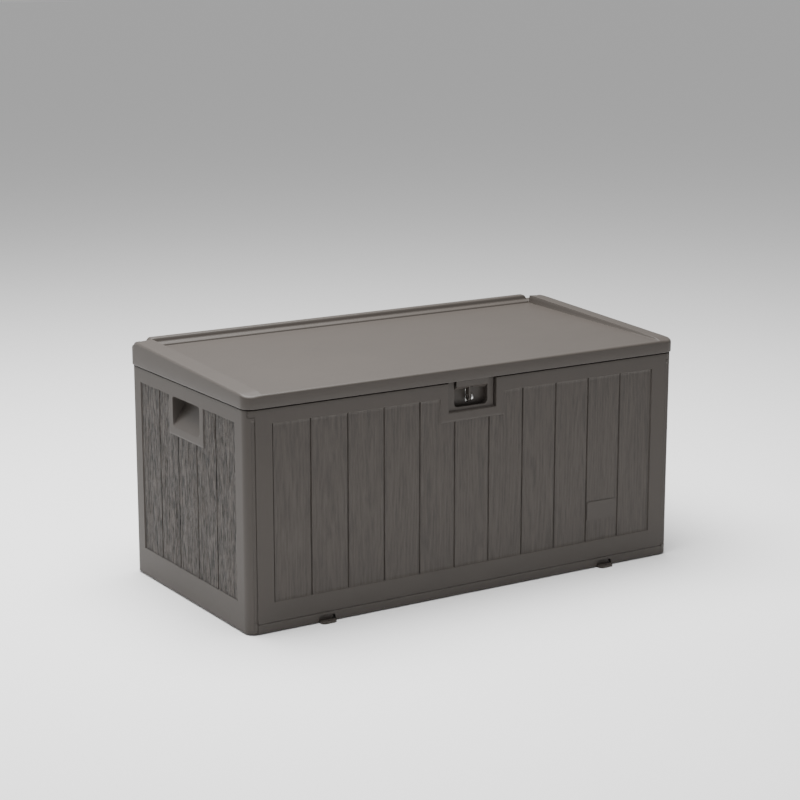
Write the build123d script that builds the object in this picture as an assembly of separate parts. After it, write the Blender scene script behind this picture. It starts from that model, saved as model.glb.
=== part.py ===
from build123d import *
import os

# Deck storage box: planked resin walls round a floor tray, and a tray-topped lid on three rear
# hinges with a padlock hasp. Millimetres, +Z up, +X along the length, the front faces -Y.
# The origin is on the ground at the centre of the footprint.

os.makedirs("parts", exist_ok=True)

# ---- overall sizes -------------------------------------------------------------------------
BODY_W = 1180.0          # body length over the side panels
BODY_D = 580.0           # body depth over the front and rear panels
BODY_R = 23.0            # radius of the vertical corners
BASE_Z = 3.0             # lower edge of the walls: the feet hold it off the ground
SEAM_Z = BASE_Z + 508.7  # upper edge of the walls
WALL = 4.0               # moulded wall thickness
GAP = 0.3                # assembly gap between neighbouring mouldings
HALF_W = BODY_W / 2
HALF_D = BODY_D / 2

# ---- walls ---------------------------------------------------------------------------------
POST_X = 567.7           # seam between the end panels and the front and rear panels
STRIP_Z = BASE_Z + 21.0  # top of the floor tray's visible strip
RECESS = 2.5             # plank field lies this far behind its frame
SLAB = RECESS + WALL     # frame depth round a plank field
FIELD_Z = (BASE_Z + 67.0, BASE_Z + 474.7)
FRONT_FIELD_X = 524.0
FRONT_PLANKS = 11
END_FIELD_Y = 235.5
END_PLANKS = 5
GROOVE_W = 4.0
GROOVE_DEEP = 3.0
RIB_W = 8.0              # rib behind each groove
RIB_DEEP = 16.0          # measured from the outer face
EAR_Z = SEAM_Z - 15.7    # the front panel's ears wrap round the posts above this height
EAR_X = 584.0
EAR_THICK = 3.0
FLANGE_DEEP = 26.0       # flange of the front and rear panels that is screwed to the post
POST_DEEP = 32.0         # depth of a corner post from the outer face
POST_SKIN = 3.0
POST_CAP = 16.0          # the post is solid from this far below the ears
CHANNEL_X = 576.0        # shallow channel on the post beside the seam
CHANNEL_DEEP = 1.2
CHANNEL_Z = (STRIP_Z + 3.0, SEAM_Z - 22.7)
TONGUE_X = 575.5
TONGUE_Y = (HALF_D - 14.0, HALF_D - 10.0)
TONGUE_Z = (STRIP_Z + 16.0, EAR_Z)
WALL_SCREW_Y = HALF_D - 20.0
WALL_SCREW_Z = (BASE_Z + 107.0, BASE_Z + 257.0, BASE_Z + 407.0)

# ---- hand-hold in each end panel -------------------------------------------------------------
HANDLE_FRAME_Y = 86.5
HANDLE_FRAME_Z = BASE_Z + 382.0
HANDLE_Y = 67.5
HANDLE_Z = (BASE_Z + 404.7, BASE_Z + 474.6)
HANDLE_DEEP = 34.0
HANDLE_SLOPE_Z = 50.0    # height over which the scoop runs out to the face
HANDLE_R = 9.0

# ---- latch pocket, hasp and staple -----------------------------------------------------------
LATCH_FRAME_X = 88.5
LATCH_FRAME_Z = BASE_Z + 417.0
LATCH_X = 65.5
LATCH_Z = BASE_Z + 440.8
LATCH_SHALLOW = 8.0
POCKET_X = 46.0
POCKET_Z = LATCH_Z + 7.0
POCKET_DEEP = 25.0
POCKET_R = 10.0
LATCH_BEVEL = 3.0        # bevel along the recess's lower edge
COLLAR = 12.0            # thick border of the front panel round the lock housing
HOUSING_FLANGE = 3.0
HOUSING_SLOT = 2.6       # the open slot down the right side of the housing's face plate
HOUSING_SCREW_X = LATCH_X + 6.0
HOUSING_SCREW_Z = (LATCH_Z + 8.0, LATCH_Z + 46.0)
HOUSING_SCREWS = [(x, z) for x in (-HOUSING_SCREW_X, HOUSING_SCREW_X) for z in HOUSING_SCREW_Z]
HASP_X = 44.0
HASP_THICK = 3.0
HASP_LIP = ((-271.0, 487.0), (-268.5, 490.0))   # inner edge of the sloping tongue, (y, z)
HASP_LIP_Z = 500.0
HASP_TOP_Z = 536.0
HASP_RIB = 6.0
HASP_RIB_Z = (516.0, 532.0)
HASP_ARCH_R = 140.0      # finger arch along the tongue's lower edge
HASP_ARCH_Z = 494.0
HASP_EYE = ((-283.5, 499.0), (-284.5, 469.0), (-281.0, 463.0), (-273.0, 463.0), (-270.0, 467.0),
            (-270.0, 487.0), (-275.0, 496.0))
HASP_SLIT = ((-284.0, -260.0), (480.0, 497.0))  # slit round the staple's fin, (y, z)
HASP_SCREW_X = HASP_X - 14.0
PADLOCK_R = 4.5
PADLOCK_Y = -277.0
PADLOCK_Z = 471.0
STAPLE_FIN_X = (-0.5, 4.0)
HASP_FIN_X = (-6.5, -2.5)
STAPLE_PLATE_X = 22.0
STAPLE_PLATE_Z = (455.0, 487.0)
STAPLE_THICK = 3.0
STAPLE_EYE_R = 8.5
STAPLE_SCREW_X = 15.0
STAPLE_SCREW_Z = PADLOCK_Z
STAPLE_SLOT_X = (-4.5, 6.0)   # slot in the pocket's back wall, for the staple's eye
STAPLE_SLOT_Z = (456.0, 488.0)
STAPLE_SLOT_R = 4.0
STAPLE_SKIN = 1.0         # wall left in front of the staple's screws
SLIT_CLEAR = 1.2

# ---- blank label plate -------------------------------------------------------------------------
LABEL_X = (337.0, 421.0)
LABEL_Z = (BASE_Z + 119.0, BASE_Z + 165.6)
LABEL_THICK = 1.5
LABEL_R = 3.0

# ---- floor tray and feet -----------------------------------------------------------------------
FLOOR_Z = (BASE_Z + 12.0, BASE_Z + 16.0)
FLOOR_RIB = 3.0
FLOOR_RIB_PITCH_X = 110.0
FLOOR_RIB_PITCH_Y = 95.0
FLOOR_RIBS_Y = 2         # ribs on each side of the middle one
LIP_H = 11.0
LIP_SHORT = 8.0          # the lip behind a strip stops this far short of its ends
FOOT_X = 391.0
FOOT_HALF = 20.0
FOOT_THICK = 5.0
FOOT_REACH = 305.0
FOOT_BACK = 262.0
FOOT_R = 10.0
FOOT_HOLE_R = 2.6
FOOT_HOLE_Y = 298.0
FOOT_PAD_HALF = 18.0
FOOT_WALL = 3.0
ARCH_HALF = 22.0
ARCH_TOP = BASE_Z + 14.0
ARCH_R = 9.0

# ---- lid ---------------------------------------------------------------------------------------
LID_W = 1186.0
LID_D = 586.0
LID_R = 26.0
LID_Z = BASE_Z + 511.0
LID_TOP = BASE_Z + 570.0
LID_HALF_D = LID_D / 2
FRONT_EDGE_Z = BASE_Z + 538.0
FRONT_CHAMFER = (3.0, 4.0)
REAR_CHAMFER = 8.0
TRAY_FRONT = (-283.0, BASE_Z + 541.8)
TRAY_REAR = (262.0, BASE_Z + 551.0)
TRAY_X = 546.0
TRAY_STEP = 6.0          # slope at the foot of the rear rim
RIM_FRONT = (-265.0, BASE_Z + 547.0)
RIM_REAR = (239.0, LID_TOP)
NOTCH_X = (545.0, 576.0)
NOTCH_Z = BASE_Z + 556.0
RIM_END = 277.0          # the side rims stop here
ROOF_CHAMFER = 6.0
LINER_Z = (SEAM_Z + 0.5, SEAM_Z + 3.5)
LINER_X = 582.0
LINER_Y = 282.0
LINER_RIB_TOP = BASE_Z + 536.0
LINER_RIB_Y = 232.0
LINER_PITCH = 95.0
LINER_CHANNEL = 1.4
LINER_CHANNEL_HALF = 10.0
LINER_R = 16.0
LINER_RIB = 3.0
LINER_EDGE = 36.0        # rib-free border at the liner's ends
BOSS_R = 5.0
BOSS_HOLE = 16.0
HASP_SCREW_Z = LID_Z + 14.0
HASP_SCREW_IN = (1.5, 6.0)
LID_SCREWS = [(x, y) for x in (-520.0, -260.0, 0.0, 260.0, 520.0) for y in (-250.0, 250.0)]

# ---- hinges ------------------------------------------------------------------------------------
HINGE_X = (-400.0, 0.0, 400.0)
HINGE_Y = 298.0
HINGE_Z = SEAM_Z + 3.3
KNUCKLE_R = 7.0
LID_KNUCKLE = 9.5
BODY_KNUCKLE = (10.5, 30.0)
KNUCKLE_RELIEF = (9.5, 31.5)
WALL_WEB = (5.0, 6.0, 30.0)   # reach behind the pin, drop below it, and drop where it joins the wall
LID_WEB = (4.0, 6.0, 26.0)    # reach behind the pin, rise above it, and rise where it joins the lid
PIN_HEAD = 2.0
PIN_PLAY = 0.2
PIN_R = 2.5
PIN_CLEAR = 0.05
HINGE_NAMES = ("left", "middle", "right")

# ---- screws ------------------------------------------------------------------------------------
SCREW_R = 2.0
SCREW_HEAD_R = 4.0
SCREW_HEAD_H = 2.4
SCREW_CLEAR = 0.1
SEAT = 0.05              # screw heads stand this far off their seats


def block(x, y, z):
    """Box between three pairs of limits."""
    corner = (Align.MIN, Align.MIN, Align.MIN)
    return Pos(x[0], y[0], z[0]) * Box(x[1] - x[0], y[1] - y[0], z[1] - z[0], align=corner)


def bar_x(x, y, z, radius):
    """Round bar along X."""
    turn = Pos((x[0] + x[1]) / 2, y, z) * Rot(0, 90, 0)
    return turn * Cylinder(radius, x[1] - x[0])


def bar_z(x, y, z, radius):
    """Round bar along Z."""
    return Pos(x, y, (z[0] + z[1]) / 2) * Cylinder(radius, z[1] - z[0])


def bar_y(x, y, z, radius):
    """Round bar along Y."""
    return Pos(x, (y[0] + y[1]) / 2, z) * Rot(90, 0, 0) * Cylinder(radius, y[1] - y[0])


def prism(width, depth, radius, z):
    """Upright block with rounded corners."""
    return Pos(0, 0, z[0]) * extrude(RectangleRounded(width, depth, radius), z[1] - z[0])


def profile_x(outline, x):
    """A (y, z) outline carried along X."""
    face = Plane.YZ.offset(x[0]) * make_face(Polyline(*outline, close=True))
    return extrude(face, x[1] - x[0])


def rounded_y(x, z, radius, y):
    """Rounded rectangle in the XZ plane carried along Y."""
    place = Pos((x[0] + x[1]) / 2, 0, (z[0] + z[1]) / 2) * Plane.XZ.offset(-y[0]).location
    return extrude(place * RectangleRounded(x[1] - x[0], z[1] - z[0], radius), -(y[1] - y[0]))


def both(limit):
    """Pair of limits centred on zero."""
    return (-limit, limit)


def grown(limits, by):
    """Pair of limits moved apart."""
    return (limits[0] - by, limits[1] + by)


def turned(part):
    """The same part on the opposite side of the vertical axis."""
    return Rot(0, 0, 180) * part


def save(node, part):
    """Write one named piece."""
    part.label = node
    export_step(part, "parts/" + node + ".step")


def screw(length):
    """Pan-head screw, head up on the XY plane, shank down."""
    head = Pos(0, 0, SCREW_HEAD_H / 2) * Cylinder(SCREW_HEAD_R, SCREW_HEAD_H)
    shank = Pos(0, 0, -length / 2) * Cylinder(SCREW_R, length)
    drive = Pos(0, 0, SCREW_HEAD_H) * Box(SCREW_HEAD_R, 1.0, 2.0)
    cross = Rot(0, 0, 90) * drive
    return head + shank - drive - cross


# ---- planked slabs -----------------------------------------------------------------------------
def groove_places(half, planks):
    """Centre lines between neighbouring planks."""
    pitch = 2 * half / planks
    return [-half + pitch * i for i in range(1, planks)]


def plank_slab(half, planks, free):
    """Recessed plank field facing -Y with its outer face on y = 0; free(x) leaves a rib out."""
    slab = block(both(half + WALL), (0, SLAB), grown(FIELD_Z, WALL))
    slab -= block(both(half), (-1, RECESS), FIELD_Z)
    for x in groove_places(half, planks):
        if free(x):
            slab += block((x - RIB_W / 2, x + RIB_W / 2), (SLAB, RIB_DEEP), FIELD_Z)
        outline = [(x - GROOVE_W / 2, RECESS - 0.01), (x, RECESS + GROOVE_DEEP),
                   (x + GROOVE_W / 2, RECESS - 0.01)]
        cut = extrude(Plane.XY.offset(FIELD_Z[0]) * make_face(Polyline(*outline, close=True)),
                      FIELD_Z[1] - FIELD_Z[0])
        slab -= cut
    return slab


# ---- front and rear panels ---------------------------------------------------------------------
def ear_band(thick, limit_x, z):
    """Band that follows the body's corners, for an ear or for its seat."""
    band = prism(BODY_W, BODY_D, BODY_R, z)
    band -= prism(BODY_W - 2 * thick, BODY_D - 2 * thick, BODY_R - thick, grown(z, 1))
    reach = block((POST_X - WALL, limit_x), (-HALF_D - 1, -HALF_D + BODY_R), grown(z, 1))
    return band & (reach + mirror(reach, about=Plane.YZ))


def long_panel(free):
    """Front or rear wall in the front position: skin, plank field, tongues and ears."""
    outer = -HALF_D
    edge = POST_X - GAP
    panel = block(both(edge), (outer, outer + WALL), (STRIP_Z, SEAM_Z))
    panel -= block(both(FRONT_FIELD_X), (outer - 1, outer + SLAB), FIELD_Z)
    panel += Pos(0, outer, 0) * plank_slab(FRONT_FIELD_X, FRONT_PLANKS, free)
    panel += block(both(edge), (outer, outer + SLAB), (SEAM_Z - WALL, SEAM_Z))
    flange = block((edge - WALL, edge), (outer, outer + FLANGE_DEEP), (STRIP_Z, SEAM_Z))
    flange += block((edge - WALL, TONGUE_X), (-TONGUE_Y[1], -TONGUE_Y[0]), TONGUE_Z)
    for z in WALL_SCREW_Z:
        flange -= bar_x((edge - WALL - 1, edge + 1), -WALL_SCREW_Y, z, SCREW_R + SCREW_CLEAR)
    panel += flange + mirror(flange, about=Plane.YZ)
    return panel + ear_band(EAR_THICK, EAR_X, (EAR_Z, SEAM_Z))


def latch_opening(panel):
    """Flush frame and thick collar round the opening for the lock housing, which is open at the top."""
    outer = -HALF_D
    panel += block(both(LATCH_FRAME_X), (outer, outer + SLAB), (LATCH_FRAME_Z, FIELD_Z[1] + WALL))
    collar_y = (outer, outer + LATCH_SHALLOW + WALL)
    panel += block(both(LATCH_X + COLLAR), collar_y, (LATCH_Z - COLLAR, SEAM_Z))
    panel -= block(both(LATCH_X), grown(collar_y, 1), (LATCH_Z, SEAM_Z + 1))
    bevel = [(outer - 0.01, LATCH_Z - LATCH_BEVEL), (outer + LATCH_SHALLOW, LATCH_Z + 1),
             (outer - 0.01, LATCH_Z + 1)]
    panel -= profile_x(bevel, both(LATCH_X))
    for x, z in HOUSING_SCREWS:
        panel -= bar_y(x, (outer + WALL, collar_y[1] + 1), z, SCREW_R + SCREW_CLEAR)
    return panel


def front_panel():
    """Front wall with the opening for the lock housing and a rib below each side of its collar."""
    edge = LATCH_X + COLLAR
    panel = latch_opening(long_panel(lambda x: abs(x) > edge))
    rib_z = (FIELD_Z[0], LATCH_Z - COLLAR - GAP)
    rib = block((edge - WALL, edge), (-HALF_D + SLAB, -HALF_D + RIB_DEEP), rib_z)
    return panel + rib + mirror(rib, about=Plane.YZ)


def lock_housing():
    """Moulded insert: face plate, deep padlock pocket open at the top, and a flange behind the collar."""
    outer = -HALF_D
    plate_y = (outer + LATCH_SHALLOW, outer + LATCH_SHALLOW + WALL)
    flange_y = (plate_y[1] + GAP, plate_y[1] + GAP + HOUSING_FLANGE)
    pocket_y = (outer + LATCH_SHALLOW, outer + POCKET_DEEP)
    plate_x = (-LATCH_X + GAP, LATCH_X - HOUSING_SLOT)
    housing = block(plate_x, (plate_y[0], flange_y[1]), (LATCH_Z + GAP, SEAM_Z))
    housing += block(both(LATCH_X + COLLAR), flange_y, (LATCH_Z - COLLAR, SEAM_Z))
    housing += block(both(POCKET_X + WALL), (plate_y[0], pocket_y[1] + WALL), (POCKET_Z - WALL, SEAM_Z))
    housing -= rounded_y(both(POCKET_X), (POCKET_Z, SEAM_Z + 2 * POCKET_R), POCKET_R,
                         (pocket_y[0] - 1, pocket_y[1]))
    slot_y = (pocket_y[1] - 1, pocket_y[1] + WALL + 1)
    housing -= rounded_y(STAPLE_SLOT_X, STAPLE_SLOT_Z, STAPLE_SLOT_R, slot_y)
    for x in both(STAPLE_SCREW_X):
        blind = (pocket_y[1] + STAPLE_SKIN, pocket_y[1] + WALL + 1)
        housing -= bar_y(x, blind, STAPLE_SCREW_Z, SCREW_R + SCREW_CLEAR)
    for x, z in HOUSING_SCREWS:
        housing -= bar_y(x, grown(flange_y, 1), z, SCREW_R + SCREW_CLEAR)
    return housing


def body_knuckles(x):
    """The two outer knuckles of one hinge with the webs that carry them."""
    reach, near, far = WALL_WEB
    web = [(HALF_D - 1, HINGE_Z - far), (HINGE_Y + reach, HINGE_Z - near), (HINGE_Y + reach, HINGE_Z),
           (HINGE_Y - KNUCKLE_R, HINGE_Z), (HALF_D - 1, SEAM_Z)]
    group = Part()
    for side in (-1, 1):
        limits = sorted((x + side * BODY_KNUCKLE[0], x + side * BODY_KNUCKLE[1]))
        group += profile_x(web, limits) + bar_x(limits, HINGE_Y, HINGE_Z, KNUCKLE_R)
    return group


def rear_panel():
    """Rear wall with its hinge knuckles."""
    panel = turned(long_panel(lambda x: True))
    for x in HINGE_X:
        panel += body_knuckles(x)
        panel -= bar_x(grown((x, x), BODY_KNUCKLE[1] + 1), HINGE_Y, HINGE_Z, PIN_R + PIN_CLEAR)
    return panel


# ---- end panels ----------------------------------------------------------------------------------
def handle_scoop(grow, face):
    """Hand-hold hollow in the slab's own frame, deepest at its top; grow makes its backing."""
    low, high = HANDLE_Z
    slope_top = low + HANDLE_SLOPE_Z - grow
    outline = [(face, low - grow), (0.1, low - grow), (HANDLE_DEEP + grow, slope_top),
               (HANDLE_DEEP + grow, high + grow), (face, high + grow)]
    scoop = profile_x(outline, both(HANDLE_Y + grow))
    return scoop & rounded_y(both(HANDLE_Y + grow), (low - grow, high + grow), HANDLE_R + grow,
                             (-2, HANDLE_DEEP + 2 * WALL))


def end_post():
    """Inner skins of the front post of the left panel, and its solid top."""
    inner = (-HALF_W + WALL / 2, -POST_X)
    depth = (-HALF_D + WALL / 2, -HALF_D + POST_DEEP)
    height = (BASE_Z, SEAM_Z)
    post = block((-POST_X - POST_SKIN, -POST_X), depth, height)
    post += block(inner, (depth[1] - POST_SKIN, depth[1]), height)
    post += block(inner, depth, (EAR_Z - POST_CAP, SEAM_Z)) & prism(BODY_W, BODY_D, BODY_R, height)
    slot_y = (-TONGUE_Y[1] - GAP, -TONGUE_Y[0] + GAP)
    post -= block((-POST_X - POST_SKIN - 1, -POST_X + 1), slot_y, grown(TONGUE_Z, GAP))
    post -= block((-TONGUE_X - 1, -POST_X + 1), slot_y, (EAR_Z - POST_CAP - 1, EAR_Z + GAP))
    for z in WALL_SCREW_Z:
        post -= bar_x((-POST_X - POST_SKIN - 1, -POST_X + 1), -WALL_SCREW_Y, z, SCREW_R + SCREW_CLEAR)
    return post


def left_panel():
    """Left wall with both rounded corner posts and the hand-hold."""
    height = (BASE_Z, SEAM_Z)
    panel = prism(BODY_W, BODY_D, BODY_R, height)
    panel -= prism(BODY_W - 2 * WALL, BODY_D - 2 * WALL, BODY_R - WALL, grown(height, 1))
    panel &= block((-HALF_W, -POST_X), both(HALF_D), height)
    panel -= block((-HALF_W - 1, -HALF_W + SLAB), both(END_FIELD_Y), FIELD_Z)
    slab = plank_slab(END_FIELD_Y, END_PLANKS, lambda y: abs(y) > HANDLE_Y + WALL)
    slab += block(both(HANDLE_FRAME_Y), (0, SLAB), (HANDLE_FRAME_Z, FIELD_Z[1] + WALL))
    slab += handle_scoop(WALL, 0)
    slab -= handle_scoop(0, -1)
    panel += Pos(-HALF_W, 0, 0) * Rot(0, 0, -90) * slab
    panel += block((-HALF_W, -HALF_W + SLAB), both(HALF_D - POST_DEEP), (SEAM_Z - WALL, SEAM_Z))
    panel += end_post() + mirror(end_post(), about=Plane.XZ)
    for seat in (ear_band(EAR_THICK + GAP, EAR_X + GAP, (EAR_Z - GAP, SEAM_Z + 1)),
                 block((-CHANNEL_X, -POST_X + 1), (-HALF_D - 1, -HALF_D + CHANNEL_DEEP), CHANNEL_Z)):
        panel -= seat + mirror(seat, about=Plane.XZ)
    return panel


# ---- floor tray, feet and label --------------------------------------------------------------------
def base_tray():
    """Floor with a grid of ribs below it, and the strips below the front and rear panels."""
    between_posts = HALF_D - POST_DEEP - GAP
    inner_y = HALF_D - WALL - GAP
    tray = block(both(POST_X - GAP), both(inner_y), FLOOR_Z)
    tray += block(both(HALF_W - WALL - GAP), both(between_posts), FLOOR_Z)
    count_x = int(HALF_W / FLOOR_RIB_PITCH_X)
    for i in range(-count_x, count_x + 1):
        x = i * FLOOR_RIB_PITCH_X
        tray += block((x - FLOOR_RIB / 2, x + FLOOR_RIB / 2), both(inner_y), (BASE_Z, FLOOR_Z[0]))
    for i in range(-FLOOR_RIBS_Y, FLOOR_RIBS_Y + 1):
        y = i * FLOOR_RIB_PITCH_Y
        tray += block(both(HALF_W - WALL - GAP), (y - FLOOR_RIB / 2, y + FLOOR_RIB / 2),
                      (BASE_Z, FLOOR_Z[0]))
    strip = block(both(POST_X - GAP), (-HALF_D, -inner_y), (BASE_Z, STRIP_Z - GAP))
    lip_top = STRIP_Z + LIP_H
    strip += block(both(POST_X - GAP - LIP_SHORT), (-inner_y, -inner_y + WALL), (FLOOR_Z[0], lip_top))
    for side in (-1, 1):
        arch_x = (side * FOOT_X - ARCH_HALF, side * FOOT_X + ARCH_HALF)
        strip -= rounded_y(arch_x, (BASE_Z - 2 * ARCH_R, ARCH_TOP), ARCH_R, (-HALF_D - 1, -inner_y + 0.01))
    return tray + strip + turned(strip)


def anchor_foot():
    """Foot at the front right: a pad under the floor and a tab with an anchor hole."""
    tab_y = (-FOOT_REACH, -FOOT_BACK)
    centre = Pos(FOOT_X, (tab_y[0] + tab_y[1]) / 2, 0)
    foot = centre * extrude(RectangleRounded(2 * FOOT_HALF, tab_y[1] - tab_y[0], FOOT_R), FOOT_THICK)
    inner = (-HALF_D + WALL + 1, -FOOT_BACK)
    pad = grown((FOOT_X, FOOT_X), FOOT_PAD_HALF)
    foot += block(pad, inner, (FOOT_THICK - 1, FLOOR_Z[0] - GAP))
    foot -= block(grown(pad, -FOOT_WALL), grown(inner, -FOOT_WALL), (FOOT_THICK, FLOOR_Z[0]))
    return foot - bar_z(FOOT_X, -FOOT_HOLE_Y, (-1, FOOT_THICK + 1), FOOT_HOLE_R)


def label_plate():
    """Blank plate on a front plank."""
    outer = -HALF_D + RECESS
    return rounded_y(LABEL_X, LABEL_Z, LABEL_R, (outer - LABEL_THICK, outer))


# ---- lid -------------------------------------------------------------------------------------------
def tray_height(y):
    """Height of the lid's sloping tray."""
    slope = (TRAY_REAR[1] - TRAY_FRONT[1]) / (TRAY_REAR[0] - TRAY_FRONT[0])
    return TRAY_FRONT[1] + slope * (y - TRAY_FRONT[0])


def lid_outside():
    """Lid as one solid: skirt, side rims that rise to the rear, sunken tray and drain notches."""
    ridge = [(-LID_HALF_D, LID_Z), (-LID_HALF_D, FRONT_EDGE_Z),
             (-LID_HALF_D + FRONT_CHAMFER[0], FRONT_EDGE_Z + FRONT_CHAMFER[1]),
             TRAY_FRONT, RIM_FRONT, RIM_REAR, (LID_HALF_D - REAR_CHAMFER, LID_TOP),
             (LID_HALF_D, LID_TOP - REAR_CHAMFER), (LID_HALF_D, LID_Z)]
    lid = prism(LID_W, LID_D, LID_R, (LID_Z, LID_TOP)) & profile_x(ridge, both(LID_W / 2))
    tray = [(-LID_HALF_D - 1, tray_height(-LID_HALF_D - 1)), TRAY_REAR,
            (TRAY_REAR[0] + TRAY_STEP, LID_TOP + 1),
            (-LID_HALF_D - 1, LID_TOP + 1)]
    lid -= profile_x(tray, both(TRAY_X))
    for side in (-1, 1):
        limits = sorted((side * NOTCH_X[0], side * NOTCH_X[1]))
        lid -= block(limits, (TRAY_REAR[0], LID_HALF_D + 1), (NOTCH_Z, LID_TOP + 1))
        corner = sorted((side * NOTCH_X[0], side * (LID_W / 2 + 1)))
        lid -= block(corner, (RIM_END, LID_HALF_D + 1), (NOTCH_Z, LID_TOP + 1))
    return lid


def lid_inside():
    """Hollow of the lid, one wall inside its outer faces."""
    half = LID_HALF_D - WALL
    limits = (LID_Z - 1, LID_TOP)
    room = prism(LID_W - 2 * WALL, LID_D - 2 * WALL, LID_R - WALL, limits)
    under = [(-half, limits[0]), (-half, FRONT_EDGE_Z - WALL), (TRAY_FRONT[0], TRAY_FRONT[1] - WALL),
             (TRAY_REAR[0], TRAY_REAR[1] - WALL), (half, TRAY_REAR[1] - WALL), (half, limits[0])]
    void = profile_x(under, both(LID_W / 2))
    side = [(RIM_FRONT[0], limits[0]), (RIM_FRONT[0], RIM_FRONT[1] - WALL),
            (RIM_REAR[0], RIM_REAR[1] - WALL), (TRAY_REAR[0] - WALL, LID_TOP - WALL),
            (TRAY_REAR[0] - WALL, limits[0])]
    for limits_x in ((TRAY_X + WALL, LID_W / 2), (-LID_W / 2, -TRAY_X - WALL)):
        void += profile_x(side, limits_x)
    inner = TRAY_REAR[0] + TRAY_STEP + WALL
    rear = [(inner, limits[0]), (inner, LID_TOP - WALL), (half - ROOF_CHAMFER, LID_TOP - WALL),
            (half, LID_TOP - WALL - ROOF_CHAMFER), (half, limits[0])]
    void += profile_x(rear, both(NOTCH_X[0] - WALL))
    return void & room


def lid_shell():
    """Lid moulding with hinge knuckles and screw bosses."""
    lid = lid_outside() - lid_inside()
    for x, y in LID_SCREWS:
        boss = bar_z(x, y, (LINER_Z[1] + GAP, tray_height(y) - 1), BOSS_R)
        lid += boss - bar_z(x, y, (LINER_Z[1], LINER_Z[1] + BOSS_HOLE), SCREW_R + SCREW_CLEAR)
    rear = LID_HALF_D
    reach, near, far = LID_WEB
    for x in HINGE_X:
        for side in (-1, 1):
            limits = sorted((x + side * KNUCKLE_RELIEF[0], x + side * KNUCKLE_RELIEF[1]))
            lid -= block(limits, (rear - WALL - 1, rear + 1), (LID_Z - 1, HINGE_Z + KNUCKLE_R + 2))
        limits = grown((x, x), LID_KNUCKLE)
        web = [(rear - 1, HINGE_Z), (HINGE_Y, HINGE_Z), (HINGE_Y + reach, HINGE_Z + near),
               (rear - 1, HINGE_Z + far)]
        lid += profile_x(web, limits) + bar_x(limits, HINGE_Y, HINGE_Z, KNUCKLE_R)
        lid -= bar_x(grown(limits, 1), HINGE_Y, HINGE_Z, PIN_R + PIN_CLEAR)
    deep = (-LID_HALF_D + HASP_SCREW_IN[0], -LID_HALF_D + HASP_SCREW_IN[1])
    for x in both(HASP_SCREW_X):
        lid -= bar_y(x, deep, HASP_SCREW_Z, SCREW_R + SCREW_CLEAR)
    return lid


def lid_inner_panel():
    """Flat liner with ribs above and shallow channels below."""
    liner = prism(2 * LINER_X, 2 * LINER_Y, LINER_R, LINER_Z)
    channel_z = (LINER_Z[0] - 1, LINER_Z[0] + LINER_CHANNEL)
    rib_z = (LINER_Z[1] - 1, LINER_RIB_TOP)
    count = int((LINER_X - LINER_EDGE) / LINER_PITCH + 0.5)
    for i in range(-count, count):
        x = (i + 0.5) * LINER_PITCH
        liner += block(grown((x, x), LINER_RIB / 2), both(LINER_RIB_Y), rib_z)
        liner -= block(grown((x, x), LINER_CHANNEL_HALF), both(LINER_RIB_Y), channel_z)
    for y in both(LINER_RIB_Y):
        liner += block(both(LINER_X - LINER_EDGE), grown((y, y), LINER_RIB / 2), rib_z)
    for x, y in LID_SCREWS:
        liner -= bar_z(x, y, (LINER_Z[0] - 1, LINER_Z[1] + 1), SCREW_R + SCREW_CLEAR)
    notch_y = (-LINER_Y - 1, -LINER_Y + HASP_THICK)
    return liner - block(both(HASP_X + HASP_THICK), notch_y, grown(LINER_Z, 1))


def lid_hasp():
    """Tongue under the lid's front edge: sloped lip with a slit, and an eye beside the staple."""
    front = -LID_HALF_D + WALL + GAP
    back = front + HASP_THICK
    lip = [(front, HASP_TOP_Z), (front, HASP_LIP_Z), *HASP_LIP, (back, HASP_LIP_Z + HASP_THICK + 1),
           (back, HASP_TOP_Z)]
    hasp = profile_x(lip, both(HASP_X))
    hasp -= bar_y(0, (front, HASP_LIP[1][0] + 1), HASP_ARCH_Z - HASP_ARCH_R, HASP_ARCH_R)
    rib = [(front, HASP_RIB_Z[0]), (front + HASP_RIB, HASP_RIB_Z[0]), (front + HASP_RIB, HASP_RIB_Z[1]),
           (front, HASP_TOP_Z)]
    for side in (-1, 1):
        hasp += profile_x(rib, sorted((side * HASP_X, side * (HASP_X - 2))))
    hasp -= block(grown(STAPLE_FIN_X, SLIT_CLEAR), *HASP_SLIT)
    hasp += profile_x(HASP_EYE, HASP_FIN_X)
    hasp -= bar_x(grown(HASP_FIN_X, 1), PADLOCK_Y, PADLOCK_Z, PADLOCK_R)
    for x in both(HASP_SCREW_X):
        hasp -= bar_y(x, (front - 1, back + 1), HASP_SCREW_Z, SCREW_R + SCREW_CLEAR)
    return hasp


def lock_staple():
    """Plate behind the pocket's back wall, with a rounded eye that reaches through the wall's slot."""
    near = -HALF_D + POCKET_DEEP + WALL + SEAT
    plate_y = (near, near + STAPLE_THICK)
    plate = rounded_y(both(STAPLE_PLATE_X), STAPLE_PLATE_Z, SCREW_HEAD_R, plate_y)
    eye = block(STAPLE_FIN_X, (PADLOCK_Y, plate_y[1]), grown((PADLOCK_Z, PADLOCK_Z), STAPLE_EYE_R))
    eye += bar_x(STAPLE_FIN_X, PADLOCK_Y, PADLOCK_Z, STAPLE_EYE_R)
    staple = plate + eye - bar_x(grown(STAPLE_FIN_X, 1), PADLOCK_Y, PADLOCK_Z, PADLOCK_R)
    for x in both(STAPLE_SCREW_X):
        staple -= bar_y(x, grown(plate_y, 1), STAPLE_SCREW_Z, SCREW_R + SCREW_CLEAR)
    return staple


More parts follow.
